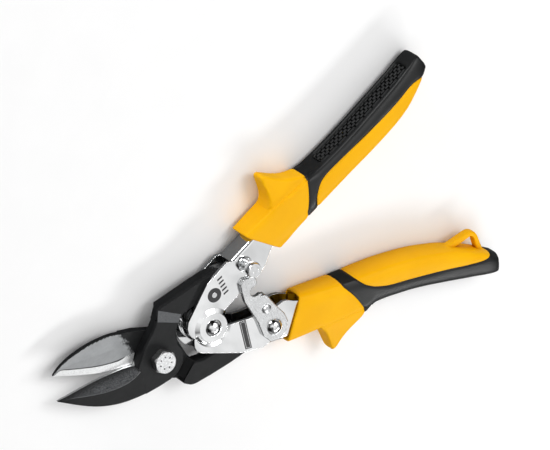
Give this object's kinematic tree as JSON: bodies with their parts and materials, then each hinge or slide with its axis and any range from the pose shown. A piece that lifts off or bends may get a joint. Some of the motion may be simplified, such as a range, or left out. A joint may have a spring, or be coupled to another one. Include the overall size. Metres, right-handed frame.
{
  "type": "aviation snips",
  "caption": "Compound-action aviation snips with offset blades, open channel handles, two-material grips with hand stops, a swinging handle latch and a hanging loop.",
  "frame": {"origin": "centre of the flat rear end of the jaw pivot bolt, on the jaw pivot axis", "axes": "+Z along the jaw pivot towards the hexagon head, +X from the jaws to the handles, +Y towards the upper handle; the tool lies flat with jaws and handles fully open"},
  "size_m": [0.2384, 0.1328, 0.0223],
  "materials": {
    "yellow_grip": "smooth semi-gloss moulded plastic",
    "black_rubber": "soft matt overmould",
    "tread_rubber": "moulded tile tread",
    "chrome_sheet": "polished chromed steel sheet",
    "satin_steel": "satin plated steel",
    "chrome_rivet": "polished domed rivets",
    "black_steel": "black finished forged steel with ground satin cutting faces",
    "zinc_bolt": "zinc plated steel",
    "spring_steel": "oiled spring steel"
  },
  "bodies": {
    "lower_handle": {"lower_handle_channel": "chrome_sheet", "lower_grip_core": "yellow_grip", "lower_grip_overmould": "black_rubber", "lower_grip_tread_pad": "tread_rubber", "lower_tang_rivet": "chrome_rivet", "handle_pivot_rivet": "chrome_rivet", "handle_pivot_spacer": "satin_steel", "return_spring": "spring_steel"},
    "upper_handle": {"upper_handle_channel": "chrome_sheet", "upper_grip_core": "yellow_grip", "upper_grip_overmould": "black_rubber", "upper_grip_tread_pad": "tread_rubber", "upper_tang_rivet_latch_post": "chrome_rivet"},
    "rear_jaw": {"rear_jaw": "black_steel", "pivot_bolt": "zinc_bolt", "pivot_nut": "zinc_bolt"},
    "front_jaw": {"front_jaw": "black_steel"},
    "latch": {"latch_plate": "satin_steel"}
  },
  "joints": [
    {"name": "handle_pivot", "type": "hinge", "parent": "lower_handle", "child": "upper_handle", "pos_m": [0.03005, 0, 0.0096], "axis": [0, 0, -1], "range_deg": [0, 24.39], "stiffness_Nm_per_rad": 0.3, "deforming": ["return_spring"]},
    {"name": "lower_tang_pivot", "type": "hinge", "parent": "lower_handle", "child": "rear_jaw", "pos_m": [0.05872, -0.01827, 0.0096], "axis": [0, 0, -1], "range_deg": [0, 6.03]},
    {"name": "jaw_pivot", "type": "hinge", "parent": "rear_jaw", "child": "front_jaw", "pos_m": [0, 0, 0.0096], "axis": [0, 0, -1], "range_deg": [0, 12.37]},
    {"name": "latch_pivot", "type": "hinge", "parent": "lower_handle", "child": "latch", "pos_m": [0.05872, -0.01827, 0.0096], "axis": [0, 0, -1], "range_deg": [0, 17.69]}
  ],
  "couplings": [
    {"joint": "lower_tang_pivot", "follows": "handle_pivot", "ratio": 0.24672},
    {"joint": "jaw_pivot", "follows": "handle_pivot", "ratio": 0.50656}
  ]
}
